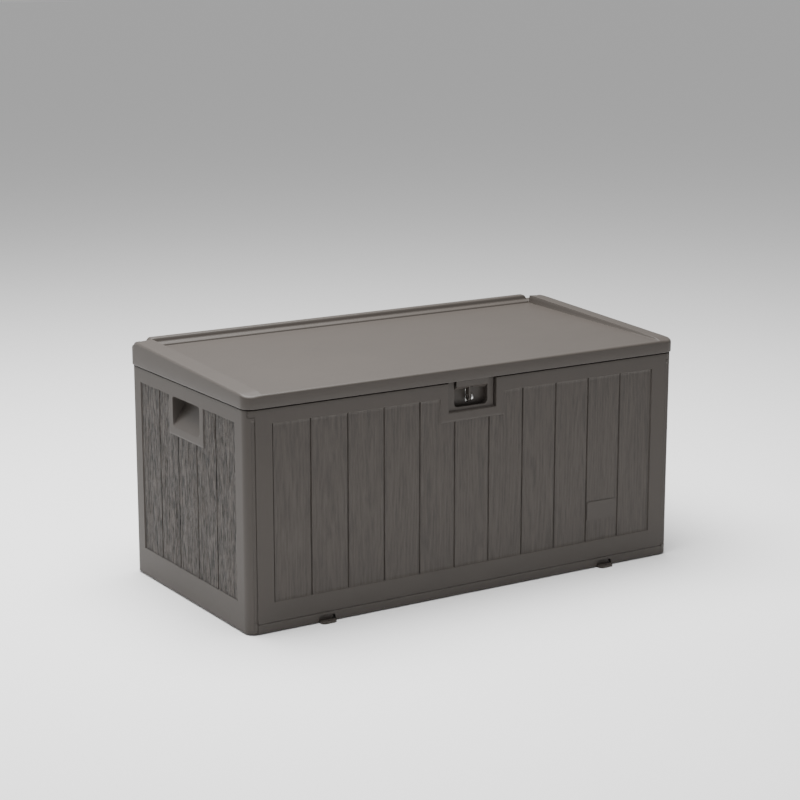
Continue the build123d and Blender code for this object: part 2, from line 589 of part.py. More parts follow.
# ---- fasteners ---------------------------------------------------------------------------------------
def hinge_pin(x):
    """Headed pin through one hinge."""
    end = x + BODY_KNUCKLE[1]
    shank = bar_x((x - BODY_KNUCKLE[1], end + PIN_HEAD / 2), HINGE_Y, HINGE_Z, PIN_R)
    return shank + bar_x((end + PIN_PLAY, end + PIN_HEAD), HINGE_Y, HINGE_Z, 2 * PIN_R - 0.5)


def screw_group(places, length, turn):
    """Equal screws at several places, all turned the same way."""
    return Part() + [Pos(*place) * turn * screw(length) for place in places]


def wall_screws():
    """Screws from inside that hold the front and rear panels to the four corner posts."""
    inner = POST_X - GAP - WALL - SEAT
    length = WALL + GAP + POST_SKIN + SEAT + 1
    sides = (-WALL_SCREW_Y, WALL_SCREW_Y)
    right = screw_group([(inner, y, z) for y in sides for z in WALL_SCREW_Z], length, Rot(0, -90, 0))
    return right + mirror(right, about=Plane.YZ)


def housing_screws():
    """Screws from inside that hold the lock housing to the front panel's collar."""
    inner = -HALF_D + LATCH_SHALLOW + WALL + GAP + HOUSING_FLANGE + SEAT
    places = [(x, inner, z) for x, z in HOUSING_SCREWS]
    return screw_group(places, HOUSING_FLANGE + GAP + 2 * SCREW_HEAD_H, Rot(-90, 0, 0))


def lid_screws():
    """Screws that hold the liner to the lid's bosses."""
    return screw_group([(x, y, LINER_Z[0] - SEAT) for x, y in LID_SCREWS], BOSS_HOLE - 2, Rot(180, 0, 0))


def staple_screws():
    """Screws of the staple, driven from inside into the pocket's back wall."""
    inner = -HALF_D + POCKET_DEEP + WALL + STAPLE_THICK + 2 * SEAT
    places = [(x, inner, STAPLE_SCREW_Z) for x in both(STAPLE_SCREW_X)]
    return screw_group(places, STAPLE_THICK + WALL - STAPLE_SKIN, Rot(-90, 0, 0))


def hasp_screws():
    """Screws of the hasp, inside the lid."""
    inner = -LID_HALF_D + WALL + GAP + HASP_THICK + SEAT
    places = [(x, inner, HASP_SCREW_Z) for x in both(HASP_SCREW_X)]
    return screw_group(places, 5.5, Rot(-90, 0, 0))


# ---- write every piece ---------------------------------------------------------------------------------
save("base_tray", base_tray())
save("front_panel", front_panel())
save("lock_housing", lock_housing())
save("housing_screws", housing_screws())
save("rear_panel", rear_panel())
left = left_panel()
save("left_panel", left)
save("right_panel", mirror(left, about=Plane.YZ))
save("label_plate", label_plate())
foot = anchor_foot()
save("foot_front_right", foot)
save("foot_front_left", mirror(foot, about=Plane.YZ))
save("foot_rear_left", turned(foot))
save("foot_rear_right", mirror(foot, about=Plane.XZ))
save("lid_shell", lid_shell())
save("lid_inner_panel", lid_inner_panel())
save("lid_screws", lid_screws())
save("lid_hasp", lid_hasp())
save("hasp_screws", hasp_screws())
save("lock_staple", lock_staple())
save("staple_screws", staple_screws())
for hinge, hinge_x in zip(HINGE_NAMES, HINGE_X):
    save("hinge_pin_" + hinge, hinge_pin(hinge_x))
save("wall_screws", wall_screws())
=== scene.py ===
import math

import bmesh
import bpy
import numpy as np
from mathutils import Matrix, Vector


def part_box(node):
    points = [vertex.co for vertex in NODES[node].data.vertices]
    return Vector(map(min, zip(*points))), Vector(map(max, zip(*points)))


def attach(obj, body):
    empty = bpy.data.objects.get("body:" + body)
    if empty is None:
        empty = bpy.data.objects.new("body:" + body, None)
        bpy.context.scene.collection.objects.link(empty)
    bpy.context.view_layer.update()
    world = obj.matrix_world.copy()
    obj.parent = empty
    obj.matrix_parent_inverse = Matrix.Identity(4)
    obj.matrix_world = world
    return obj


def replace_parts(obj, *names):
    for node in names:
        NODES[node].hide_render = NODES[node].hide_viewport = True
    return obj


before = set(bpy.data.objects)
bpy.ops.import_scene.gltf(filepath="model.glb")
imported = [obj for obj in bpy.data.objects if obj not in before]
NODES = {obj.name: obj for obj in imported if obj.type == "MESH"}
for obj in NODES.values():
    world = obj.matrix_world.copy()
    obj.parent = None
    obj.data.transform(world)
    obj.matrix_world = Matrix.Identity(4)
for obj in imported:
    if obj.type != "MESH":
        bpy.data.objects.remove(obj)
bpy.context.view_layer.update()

MM = 0.001               # the shapes below are worked out in millimetres


def span(node):
    """Lowest and highest corners of a CAD node in millimetres."""
    low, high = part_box(node)
    return [v / MM for v in low], [v / MM for v in high]


# ---- driving sizes, read from the frame where it has them (mm) ----------------------------
end_low, end_high = span("left_panel")
front_low, _ = span("front_panel")
lid_low, lid_high = span("lid_shell")
HALF_W = -end_low[0]
HALF_D = -front_low[1]
BASE_Z = end_low[2]
SEAM_Z = end_high[2]
PANEL_Z = front_low[2]
LID_HALF_W = lid_high[0]
LID_HALF_D = -lid_low[1]
LID_TOP = lid_high[2]
LID_Z = SEAM_Z + 2.3             # lower edge of the lid's skirt
BODY_R = 23.0
LID_R = 26.0
POST_X = HALF_W - 22.3           # seam between a long wall and a corner post
WALL_END = POST_X - 0.3
WALL = 4.0
EAR_Z = SEAM_Z - 15.7            # above this the long walls wrap the corners with an ear
EAR_END = HALF_W - BODY_R + BODY_R * math.pi / 4
EAR_THICK = 3.2
EAR_START = POST_X - 0.5
EAR_SEAT = 3.3                   # how far the posts step back under the ears
EAR_GAP = 0.6
POST_WALL = WALL + 0.5
RECESS = 2.5                     # how far the plank fields lie behind their frames
FIELD_Z = (BASE_Z + 67.0, BASE_Z + 474.7)
FIELD_EDGE = 1.2                 # width of the step round a plank field
FRONT_FIELD = 524.0
FRONT_PLANKS = 11
END_FIELD = 235.5
END_PLANKS = 5
FURROW_DEEP = 3.5
FURROW_HALF = 2.1
END_FURROW_HALF = 1.5
FURROW_SHAPE = 0.7               # 0.5 would be a half circle and 1 a parabola
FURROW_PAST = 0.5                # how far the furrows run past a plank field, and how soon they fade
FURROW_FADE = 1.0
RIB = 8.0                        # ribs behind the furrows
RIB_FADE = 4.0
BACK_MARGIN = 3.0                # how far the hollow behind a plank field reaches past it
RIM_R = 1.4                      # roundings of the walls' outlines and of their openings
EDGE_R = 1.2
HINGE_Y = 298.0
HINGE_Z = SEAM_Z + 3.3
HINGE_X = (-400.0, 0.0, 400.0)
KNUCKLE_R = 7.0


# ---- smooth steps, bumps and noise on arrays ------------------------------------------------
def smooth(t):
    """Eases a share between 0 and 1."""
    return t * t * (3 - 2 * t)


def ramp(x, start, end):
    """0 before start, 1 after end, smooth between."""
    return smooth(np.clip((x - start) / (end - start), 0, 1))


def inside(x, low, high, edge):
    """1 between low and high, 0 outside, with a soft edge of the given width inside the limits."""
    return ramp(x, low, low + edge) * (1 - ramp(x, high - edge, high))


def mix(first, second, share):
    """Value that goes from first to second with share."""
    return first + (second - first) * share


def line(x, centre, half):
    """Rounded furrow of unit depth round a centre."""
    return np.clip(1 - ((x - centre) / half) ** 2, 0, 1) ** FURROW_SHAPE


def soft_edge(distance, radius):
    """How far a rounded edge of this radius falls at a distance inside its boundary."""
    d = np.clip(radius - distance, 0, radius)
    return radius - np.sqrt(radius ** 2 - d ** 2)


def noise(x, y, size_x, size_y, seed):
    """Seeded value noise in -1 to 1 whose cells are size_x by size_y."""
    gx = x / size_x
    gy = y / size_y
    gx = gx - math.floor(gx.min()) + 1
    gy = gy - math.floor(gy.min()) + 1
    table = np.random.default_rng(seed).random((int(gx.max()) + 3, int(gy.max()) + 3)) * 2 - 1
    ix = gx.astype(int)
    iy = gy.astype(int)
    fx = smooth(gx - ix)
    fy = smooth(gy - iy)
    low = table[ix, iy] * (1 - fx) + table[ix + 1, iy] * fx
    high = table[ix, iy + 1] * (1 - fx) + table[ix + 1, iy + 1] * fx
    return low * (1 - fy) + high * fy


# ---- grid lines -----------------------------------------------------------------------------
# Offsets of the grid lines at a soft step, a hard step, a furrow and a rounded edge (inwards).
STEP = (-1.6, -0.8, 0.0, 0.8, 1.6)
HARD_STEP = (-0.3, 0.3)
FURROW = (-2.2, -1.5, -0.7, 0.0, 0.7, 1.5, 2.2)
EDGE = (0.3, 0.8, 1.6)
CLOSEST = 0.25                   # grid lines nearer than this are merged
ON_EDGE = 0.1                    # a grid line nearer than this to an edge counts as on it


def both_ends(place, offsets):
    """A mark at each end of a run centred on 0, whose offsets count inwards."""
    return [(-place, offsets), (place, tuple(-o for o in offsets))]


def plank_marks(half, planks):
    """Marks at the furrows of a plank field."""
    pitch = 2 * half / planks
    return [(-half + i * pitch, FURROW) for i in range(planks + 1)]


def grid_lines(low, high, pitch, marks):
    """Sorted coordinates from low to high: each (place, offsets) in marks, then steps up to pitch."""
    places = {low, high}
    for place, offsets in marks:
        places.update(place + o for o in offsets if low < place + o < high)
    places = sorted(places)
    kept = [places[0]]
    for place in places[1:]:
        if place - kept[-1] > CLOSEST:
            kept.append(place)
    kept[-1] = high
    lines = [kept[0]]
    for a, b in zip(kept, kept[1:]):
        steps = max(1, math.ceil((b - a) / pitch))
        lines.extend(a + (b - a) * k / steps for k in range(1, steps + 1))
    return np.array(lines)


# ---- mesh makers ----------------------------------------------------------------------------
BEVEL_STEPS = 2
BEVEL_ANGLE = 35
WELD = 0.00002
FLAT_SHARP = 30                  # degrees from which an edge stays sharp
WALL_SHARP = 50
LID_SHARP = 60


def link(name, mesh, body, material):
    """Put a finished mesh in the scene, riding on a body."""
    obj = bpy.data.objects.new(name, mesh)
    bpy.context.scene.collection.objects.link(obj)
    mesh.materials.append(material)
    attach(obj, body)
    return obj


def mesh_of(name, points, faces, attributes=None, sharp=WALL_SHARP):
    """Mesh from millimetre points, smooth-shaded but for its sharp edges."""
    mesh = bpy.data.meshes.new(name)
    mesh.from_pydata((np.asarray(points) * MM).tolist(), [], faces)
    mesh.validate()
    mesh.shade_smooth()
    mesh.set_sharp_from_angle(angle=math.radians(sharp))
    for key, values in (attributes or {}).items():
        layer = mesh.attributes.new(key, "FLOAT", "POINT")
        layer.data.foreach_set("value", np.asarray(values, np.float32))
    return mesh


def bevel(obj, width):
    """Rounded edges on a solid, with flat faces kept flat."""
    weld = obj.modifiers.new("weld", "WELD")
    weld.merge_threshold = WELD
    mod = obj.modifiers.new("bevel", "BEVEL")
    mod.width = width * MM
    mod.segments = BEVEL_STEPS
    mod.limit_method = "ANGLE"
    mod.angle_limit = math.radians(BEVEL_ANGLE)
    mod.use_clamp_overlap = True
    mod.harden_normals = False


def sheet_cells(keep):
    """Quads of the kept cells of a grid, and the directed edges on their outline."""
    n, m = keep.shape
    index = np.arange((n + 1) * (m + 1)).reshape(n + 1, m + 1)
    a, b, c, d = index[:-1, :-1], index[1:, :-1], index[1:, 1:], index[:-1, 1:]
    quads = np.stack([a, b, c, d], -1)[keep]
    wide = np.pad(keep, 1)
    rims = []
    for ends, beside in (((a, b), wide[1:-1, :-2]), ((b, c), wide[2:, 1:-1]),
                         ((c, d), wide[1:-1, 2:]), ((d, a), wide[:-2, 1:-1])):
        rims.append(np.stack(ends, -1)[keep & ~beside])
    return quads, np.concatenate(rims)


def two_sided(name, u, v, outer, inner, keep, attributes):
    """Closed mesh between two grids of points that share their lines; keep drops cells.

    attributes maps a name to a function of the grid, whose values the outer side carries."""
    mid_u, mid_v = np.meshgrid((u[:-1] + u[1:]) / 2, (v[:-1] + v[1:]) / 2, indexing="ij")
    quads, rims = sheet_cells(keep(mid_u, mid_v))
    grid_u, grid_v = np.meshgrid(u, v, indexing="ij")
    front = outer(grid_u, grid_v).reshape(-1, 3)
    back = inner(grid_u, grid_v).reshape(-1, 3)
    count = len(front)
    strips = np.stack([rims[:, 1], rims[:, 0], rims[:, 0] + count, rims[:, 1] + count], -1)
    faces = np.concatenate([quads, quads[:, ::-1] + count, strips])
    used, compact = np.unique(faces, return_inverse=True)
    points = np.concatenate([front, back])[used]
    values = {}
    for key, function in attributes.items():
        outside = function(grid_u, grid_v).reshape(-1)
        values[key] = np.concatenate([outside, np.zeros(count)])[used]
    return mesh_of(name, points, compact.reshape(faces.shape).tolist(), values)


def prism_faces(n):
    """Faces of a prism whose two ends have n points each."""
    sides = [[i, (i + 1) % n, n + (i + 1) % n, n + i] for i in range(n)]
    return [list(range(n))[::-1], list(range(n, 2 * n))] + sides


# ---- wood grain relief ----------------------------------------------------------------------
# Growth rings show as arches round a centre of their own on each plank, with streaks and flecks.
RING_OFFSET = 0.35               # furthest ring centre from its plank's middle, in planks
RING_HEIGHTS = (-150, 650)       # heights of the ring centres
RING_LEAN = 0.02
RING_STRETCH = 0.055             # the rings' width over their length
WANDER = ((14, 90, 3.0), (7, 30, 1.2))
PLANK_JUMP = (37, 53)            # moves the noise on from plank to plank
FINE_GRAIN = {"deep": 0.42, "period": 7.5, "streak": (3.6, 70), "fleck": (2.4, 24),
              "shares": (0.40, 0.50, 0.20)}
COARSE_GRAIN = {"deep": 1.1, "period": 6.5, "streak": (3.2, 26), "fleck": (2.4, 9),
                "shares": (0.45, 0.55, 0.55)}


def plank_grain(s, z, half, planks, seed, grain):
    """Relief of moulded wood grain in -1 to 1: arches, streaks along z and short flecks."""
    pitch = 2 * half / planks
    plank = np.floor((s + half) / pitch)
    middle = -half + (plank + 0.5) * pitch
    rng = np.random.default_rng(seed)
    count = planks + 2
    which = plank.astype(int) % count
    shift = rng.uniform(-RING_OFFSET, RING_OFFSET, count)[which] * pitch
    heart = rng.uniform(*RING_HEIGHTS, count)[which]
    lean = rng.uniform(-RING_LEAN, RING_LEAN, count)[which]
    across = s - middle - shift + lean * (z - heart)
    slow, quick = (noise(s, z, width, length, seed + i) * size
                   for i, (width, length, size) in enumerate(WANDER, 1))
    rings = np.sqrt(across ** 2 + ((z - heart) * RING_STRETCH) ** 2) + (slow + quick)
    arches = np.sin(rings * 2 * math.pi / grain["period"])
    streaks = noise(s + plank * PLANK_JUMP[0], z, *grain["streak"], seed + 3)
    flecks = noise(s, z + plank * PLANK_JUMP[1], *grain["fleck"], seed + 4)
    a, b, c = grain["shares"]
    return np.clip(a * arches + b * streaks + c * flecks, -1, 1)


# ---- what all four walls share --------------------------------------------------------------
def outline(s, depth, side):
    """Points at signed distance s along one side of the body's rounded outline, depth inside it.

    side counts the quarter turns from the front, so 0 is front, 1 right, 2 rear and 3 left."""
    long_half, out = (HALF_W, HALF_D) if side % 2 == 0 else (HALF_D, HALF_W)
    straight = long_half - BODY_R
    past = np.clip(np.abs(s) - straight, 0, None)
    turn = np.clip(past / BODY_R, 0, math.pi / 2)
    after = np.clip(past - BODY_R * math.pi / 2, 0, None)
    reach = np.minimum(np.abs(s), straight) + (BODY_R - depth) * np.sin(turn)
    back = BODY_R - (BODY_R - depth) * np.cos(turn) + after
    x = np.sign(s) * reach
    y = -out + back
    for _ in range(side):
        x, y = -y, x
    return x, y


def wall_points(side, depth_of):
    """Function of (s, z) giving points on a wall, depth_of(s, z) inside the body's outline."""
    def points(s, z):
        x, y = outline(s, depth_of(s, z), side)
        return np.stack([x, y, z], -1)
    return points


def field_mask(s, z, half, patch):
    """1 on the recessed plank field, 0 on its frame and on the flush patch round an opening.

    patch is the patch's half width and lower edge, or None."""
    field = inside(s, -half, half, FIELD_EDGE) * inside(z, *FIELD_Z, FIELD_EDGE)
    if patch:
        beside = inside(s, -patch[0], patch[0], FIELD_EDGE)
        field = field * (1 - beside * ramp(z, patch[1], patch[1] + FIELD_EDGE))
    return field


def furrows(s, half, planks, shown):
    """Unit furrows between and beside the planks, where shown is 1."""
    total = np.zeros_like(s)
    pitch = 2 * half / planks
    for i in range(planks + 1):
        width = FURROW_HALF if 0 < i < planks else END_FURROW_HALF
        total = np.maximum(total, line(s, -half + i * pitch, width))
    return total * shown


def field_depth(s, z, half, planks, patch, seed, grain):
    """Depth of a plank field with its grain and furrows."""
    mask = field_mask(s, z, half, patch)
    relief = plank_grain(s, z, half, planks, seed, grain)
    shown = inside(z, FIELD_Z[0] - FURROW_PAST, FIELD_Z[1] + FURROW_PAST, FURROW_FADE)
    if patch:
        shown = shown * (1 - (np.abs(s) < patch[0]) * ramp(z, patch[1] - FURROW_FADE, patch[1]))
    return RECESS * mask - grain["deep"] * relief * mask + FURROW_DEEP * furrows(s, half, planks, shown)


def back_depth(s, z, half, planks, free):
    """Depth of a wall's inner face, with a rib behind each furrow where free is 1."""
    hollow = RECESS * field_mask(s, z, half + BACK_MARGIN, None)
    return WALL + hollow + RIB * furrows(s, half, planks, inside(z, *FIELD_Z, RIB_FADE)) * free


def add_wall(name, node, side, lines, outer, inner, kept, attributes, finish):
    """One wall as a closed moulding that stands for its CAD node."""
    mesh = two_sided(name, *lines, wall_points(side, outer), wall_points(side, inner), kept, attributes)
    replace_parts(link(name, mesh, "root", MATERIALS[finish]), node)


# ---- front and rear walls -------------------------------------------------------------------
LATCH_FRAME = (88.5, BASE_Z + 417.0)     # half width and lower edge of the flush patch
LATCH = (65.5, BASE_Z + 440.8)           # half width and lower edge of the opening
LATCH_DEEP = 8.0
LATCH_BEVEL = (3.0, 0.5)                 # the sill's slope, below and above the opening's edge
LATCH_LINES = (-1.2, -0.6, 0, 0.6, 1.2)
LATCH_ROWS = (-3, -2.2, -1.4, -0.7, 0)
COLLAR = 12.0
LONG_PITCH = 2.6
ROW_PITCH = 6.5


def long_wall_lines(latch):
    """Grid lines of the front or rear wall."""
    marks = plank_marks(FRONT_FIELD, FRONT_PLANKS)
    marks += both_ends(WALL_END, (0, *EDGE))
    marks += both_ends(EAR_END, EDGE)
    marks += both_ends(HALF_W - BODY_R / 2, (8, 4, 0, -3))
    rows = [(PANEL_Z, EDGE), (FIELD_Z[0], STEP), (FIELD_Z[1], STEP), (EAR_Z, (0, *EDGE)),
            (SEAM_Z, tuple(-o for o in EDGE))]
    if latch:
        marks += both_ends(LATCH_FRAME[0], STEP)
        marks += both_ends(LATCH[0], LATCH_LINES)
        marks += both_ends(LATCH[0] + COLLAR, HARD_STEP)
        rows += [(LATCH_FRAME[1], STEP), (LATCH[1] - COLLAR, HARD_STEP), (LATCH[1], LATCH_ROWS)]
    return grid_lines(-EAR_END, EAR_END, LONG_PITCH, marks), grid_lines(PANEL_Z, SEAM_Z, ROW_PITCH, rows)


def long_wall_depth(s, z, latch, seed):
    """Depth of the outer face of the front or rear wall below the body's outline."""
    patch = LATCH_FRAME if latch else None
    depth = field_depth(s, z, FRONT_FIELD, FRONT_PLANKS, patch, seed, FINE_GRAIN)
    depth += soft_edge(np.minimum(z - PANEL_Z, SEAM_Z - z), RIM_R)
    depth += soft_edge(np.where(z > EAR_Z, EAR_END, WALL_END) - np.abs(s), EDGE_R)
    if latch:
        depth += soft_edge(np.where(z > LATCH[1], np.abs(s) - LATCH[0], EDGE_R), EDGE_R)
        sill = ramp(z, LATCH[1] - LATCH_BEVEL[0], LATCH[1] + LATCH_BEVEL[1])
        depth += LATCH_DEEP * ((np.abs(s) < LATCH[0] + ON_EDGE) * sill)
    return depth


def long_wall_back(s, z, latch):
    """Depth of the inner face of the front or rear wall, with the collar round the latch."""
    beside = np.abs(s) > LATCH[0] + COLLAR if latch else 1
    depth = back_depth(s, z, FRONT_FIELD, FRONT_PLANKS, beside)
    if latch:
        collar = (np.abs(s) < LATCH[0] + COLLAR) & (z > LATCH[1] - COLLAR)
        depth = np.where(collar, LATCH_DEEP + WALL, depth)
    return np.where(np.abs(s) > EAR_START, EAR_THICK, depth)


def long_wall(name, node, side, latch, seed):
    """Front or rear wall with its ears, plank field and ribs behind."""
    def outer(s, z):
        return long_wall_depth(s, z, latch, seed)

    def inner(s, z):
        return long_wall_back(s, z, latch)

    def kept(s, z):
        opening = (np.abs(s) < LATCH[0]) & (z > LATCH[1]) if latch else np.zeros_like(s, bool)
        return ((np.abs(s) < WALL_END) | (z > EAR_Z)) & ~opening

    def field(s, z):
        return field_mask(s, z, FRONT_FIELD, LATCH_FRAME if latch else None)

    def relief(s, z):
        return plank_grain(s, z, FRONT_FIELD, FRONT_PLANKS, seed, FINE_GRAIN) * field(s, z)

    add_wall(name, node, side, long_wall_lines(latch), outer, inner, kept,
             {"relief": relief, "field": field}, "wall_front")


# ---- end walls ------------------------------------------------------------------------------
# s runs round both corners of an end wall, over the posts and a little way along the long sides.
HANDLE_FRAME = (86.5, BASE_Z + 382.0)    # half width and lower edge of the flush patch
HANDLE = (67.5, BASE_Z + 404.7, BASE_Z + 474.6)      # half width, lower and upper edge
HANDLE_DEEP = 34.0
HANDLE_SLOPE = 52.0
HANDLE_R = 9.0
HANDLE_CLEAR = (8.0, 12.0)               # no ribs this near the hand-hold's sides and lower edge
CHANNEL = (8.4, BASE_Z + 24.0, SEAM_Z - 22.7)        # width, lower and upper end
CHANNEL_DEEP = 1.2
CHANNEL_EDGE = 0.5
CHANNEL_LINES = (-0.6, 0.0, 0.6)
STRAIGHT = HALF_D - BODY_R
CORNER_END = STRAIGHT + BODY_R * math.pi / 2
POST_END = CORNER_END + (HALF_W - BODY_R - POST_X)
EAR_EDGE = CORNER_END - BODY_R * math.pi / 4 - EAR_GAP
EAR_BELOW = 0.5                          # gap below an ear
CORNER_STEPS = 8
END_PITCH = 2.3
HANDLE_LINES = (-9, -6, -3, -1.4, -0.7, 0)
HANDLE_ROWS = ((0, 1, 3, 6, 9), (-9, -5, -2.5, -1.4, -0.7, 0))


def end_wall_lines():
    """Grid lines of an end wall."""
    marks = plank_marks(END_FIELD, END_PLANKS)
    marks += both_ends(HANDLE_FRAME[0], STEP)
    marks += [(-HANDLE[0], HANDLE_LINES), (HANDLE[0], HANDLE_LINES)]
    marks += both_ends(EAR_EDGE, (0, -0.5))
    for k in range(CORNER_STEPS + 1):
        marks += both_ends(STRAIGHT + BODY_R * math.pi / 2 * k / CORNER_STEPS, (0,))
    marks += both_ends(POST_END - CHANNEL[0], CHANNEL_LINES)
    marks += both_ends(POST_END, EDGE)
    rows = [(BASE_Z, EDGE), (FIELD_Z[0], STEP), (FIELD_Z[1], STEP), (HANDLE_FRAME[1], STEP),
            (HANDLE[1], HANDLE_ROWS[0]), (HANDLE[2], HANDLE_ROWS[1]), (CHANNEL[1], CHANNEL_LINES),
            (CHANNEL[2], CHANNEL_LINES), (EAR_Z, (-0.6, -0.1)), (SEAM_Z, tuple(-o for o in EDGE))]
    return grid_lines(-POST_END, POST_END, END_PITCH, marks), grid_lines(BASE_Z, SEAM_Z, ROW_PITCH, rows)


def scoop_depth(s, z, grow):
    """Depth of the hand-hold: a ramp from its lower edge in to a roof at its top."""
    half = HANDLE[0] + grow
    low, high = HANDLE[1] - grow, HANDLE[2] + grow
    dx = np.clip(np.abs(s) - (half - HANDLE_R), 0, None)
    dz = np.maximum(np.clip(low + HANDLE_R - z, 0, None), np.clip(z - (high - HANDLE_R), 0, None))
    distance = HANDLE_R - np.hypot(dx, dz)
    slope = np.clip((z - low) / HANDLE_SLOPE, 0, 1)
    return (HANDLE_DEEP * slope + grow) * ramp(distance, 0, RIM_R + grow)


def end_wall_depth(s, z, seed):
    """Depth of the outer face of an end wall below the body's outline."""
    depth = field_depth(s, z, END_FIELD, END_PLANKS, HANDLE_FRAME, seed, COARSE_GRAIN)
    to_edge = np.minimum(np.minimum(POST_END - np.abs(s), z - BASE_Z), SEAM_Z - z)
    depth += soft_edge(to_edge, RIM_R)
    depth += scoop_depth(s, z, 0)
    start = POST_END - CHANNEL[0]
    channel = ramp(np.abs(s), start - CHANNEL_EDGE, start + CHANNEL_EDGE)
    depth += CHANNEL_DEEP * channel * inside(z, CHANNEL[1], CHANNEL[2], 2 * CHANNEL_EDGE)
    under_ear = (np.abs(s) > EAR_EDGE) & (z > EAR_Z - EAR_BELOW)
    return np.where(under_ear, EAR_SEAT, depth)


def end_wall_back(s, z):
    """Depth of the inner face of an end wall, with the hand-hold's box and no ribs behind it."""
    free = (np.abs(s) > HANDLE[0] + HANDLE_CLEAR[0]) | (z < HANDLE[1] - HANDLE_CLEAR[1])
    depth = back_depth(s, z, END_FIELD, END_PLANKS, free) + scoop_depth(s, z, WALL)
    return np.where(np.abs(s) > STRAIGHT, POST_WALL, depth)


def end_wall(name, node, side, seed):
    """End wall with both corner posts, hand-hold and plank field."""
    def outer(s, z):
        return end_wall_depth(s, z, seed)

    def kept(s, z):
        return np.ones_like(s, bool)

    def field(s, z):
        return field_mask(s, z, END_FIELD, HANDLE_FRAME)

    def relief(s, z):
        return plank_grain(s, z, END_FIELD, END_PLANKS, seed, COARSE_GRAIN) * field(s, z)

    add_wall(name, node, side, end_wall_lines(), outer, end_wall_back, kept,
             {"relief": relief, "field": field}, "wall_end")


POST_SKIN = 3.0
POST_DEEP = 32.0
POST_GAP = 0.6
POST_EDGE = 0.8


def corner_post(name, sign_x, sign_y):
    """Inner skins that close one corner post into a box section."""
    x0, x1, x2 = POST_X - POST_SKIN, POST_X, HALF_W - WALL - POST_GAP
    y0, y1 = HALF_D - POST_DEEP, HALF_D - WALL - POST_GAP
    plan = [(x0, y1), (x0, y0), (x2, y0), (x2, y0 + POST_SKIN), (x1, y0 + POST_SKIN), (x1, y1)]
    points = []
    for z in (BASE_Z, SEAM_Z - POST_GAP):
        points += [(sign_x * x, sign_y * y, z) for x, y in plan]
    faces = prism_faces(len(plan))
    if sign_x * sign_y > 0:
        faces = [f[::-1] for f in faces]
    mesh = mesh_of(name, points, faces, sharp=FLAT_SHARP)
    bevel(link(name, mesh, "root", MATERIALS["plain"]), POST_EDGE)


# ---- lid ------------------------------------------------------------------------------------
TRAY_X = (546.5, 549.0)                  # foot and head of the step from the tray to a side rim
TRAY_FRONT = (-283.0, BASE_Z + 541.8)
TRAY_REAR = (257.0, BASE_Z + 551.0)
RIM_LINE = ((-293.0, BASE_Z + 541.0), (-265.0, BASE_Z + 547.0), (239.0, BASE_Z + 570.0),
            (293.0, BASE_Z + 570.0))
RIM_FALL = 3.0                           # a side rim's fall to the lid's outer edge
RIM_END = (261.0, 267.0)
REAR_RIM = ((257.0, 551.0), (258.5, 555.0), (268.5, 558.6), (271.0, 567.5), (273.0, 569.6),
            (284.0, 569.8), (293.0, 569.2))
REAR_END = (540.0, 554.0)
NOTCH_Z = BASE_Z + 557.5                 # floor of the notch between the rear rim and a side rim
NOTCH_RISE = 259.5
NOTCH_START = 259.0
NOTCH_SIDE = (572.0, 578.0)
LID_EDGE_R = 6.0
LID_PITCH = 14.0
LID_EDGE_STEPS = (0.0, 0.4, 1.2, 2.5, 4.0, 6.0, 9.0)
LID_CORNER_STEPS = 6
LID_LINES_X = (540, 543, 546, 546.5, 547.1, 547.8, 548.4, 549, 550, 551.5, 554, 572, 574, 576, 578)
LID_LINES_Y = (257, 257.6, 258.5, 259.5, 261, 262.5, 264, 265.5, 267, 268.5, 269.6, 271, 272, 273,
               275, 279.5, 284)
SLOT_EDGES = (9.6, 31.8)                 # the skirt's slots for the wall's knuckles, from the hinge
SLOT_LINES = (-0.5, 0.5)
SLOT_MIDDLE = 20.7
SLOT_HALF = 11.0
SLOT_LIFT = 11.0
# Rows of points down the skirt and up its inside: inset, height above the edge, share of the lift.
SKIRT_ROWS = ((0, 14.0, 0.4), (0, 2.0, 1), (0.25, 1.0, 1), (0.8, 0.3, 1), (1.6, 0.0, 1), (3.0, 0.0, 1),
              (3.7, 0.4, 1), (4, 1.5, 1))


def lid_height(x, y):
    """Height of the lid's upper surface before its outline is rounded off."""
    ax = np.abs(x)
    share = (y - TRAY_FRONT[0]) / (TRAY_REAR[0] - TRAY_FRONT[0])
    tray = np.minimum(mix(TRAY_FRONT[1], TRAY_REAR[1], share), TRAY_REAR[1])
    notch_step = mix(tray, NOTCH_Z, ramp(y, TRAY_REAR[0], NOTCH_RISE))
    rear_rim = BASE_Z + np.interp(y, *zip(*REAR_RIM))
    back = mix(notch_step, rear_rim, 1 - ramp(ax, *REAR_END))
    middle = np.where(y > TRAY_REAR[0], back, tray)
    outward = np.clip((ax - TRAY_X[1]) / (LID_HALF_W - TRAY_X[1]), 0, 1)
    side_rim = np.interp(y, *zip(*RIM_LINE)) - RIM_FALL * outward
    side_rim = mix(NOTCH_Z, side_rim, 1 - ramp(y, *RIM_END))
    notch = ramp(y, TRAY_REAR[0], NOTCH_START) * (1 - ramp(ax, *NOTCH_SIDE))
    rim = mix(side_rim, np.minimum(side_rim, notch_step), notch)
    return mix(middle, rim, ramp(ax, *TRAY_X))


def plan_point(x, y, inset):
    """Grid point moved onto the lid's rounded plan, shrunk by inset."""
    cx, cy = LID_HALF_W - LID_R, LID_HALF_D - LID_R
    s = np.clip((np.abs(x) - cx) / LID_R, 0, 1)
    t = np.clip((np.abs(y) - cy) / LID_R, 0, 1)
    radius = LID_R - inset
    px = np.where(s > 0, cx + radius * s * np.sqrt(1 - t * t / 2), np.abs(x))
    py = np.where(t > 0, cy + radius * t * np.sqrt(1 - s * s / 2), np.abs(y))
    return np.sign(x) * px, np.sign(y) * py


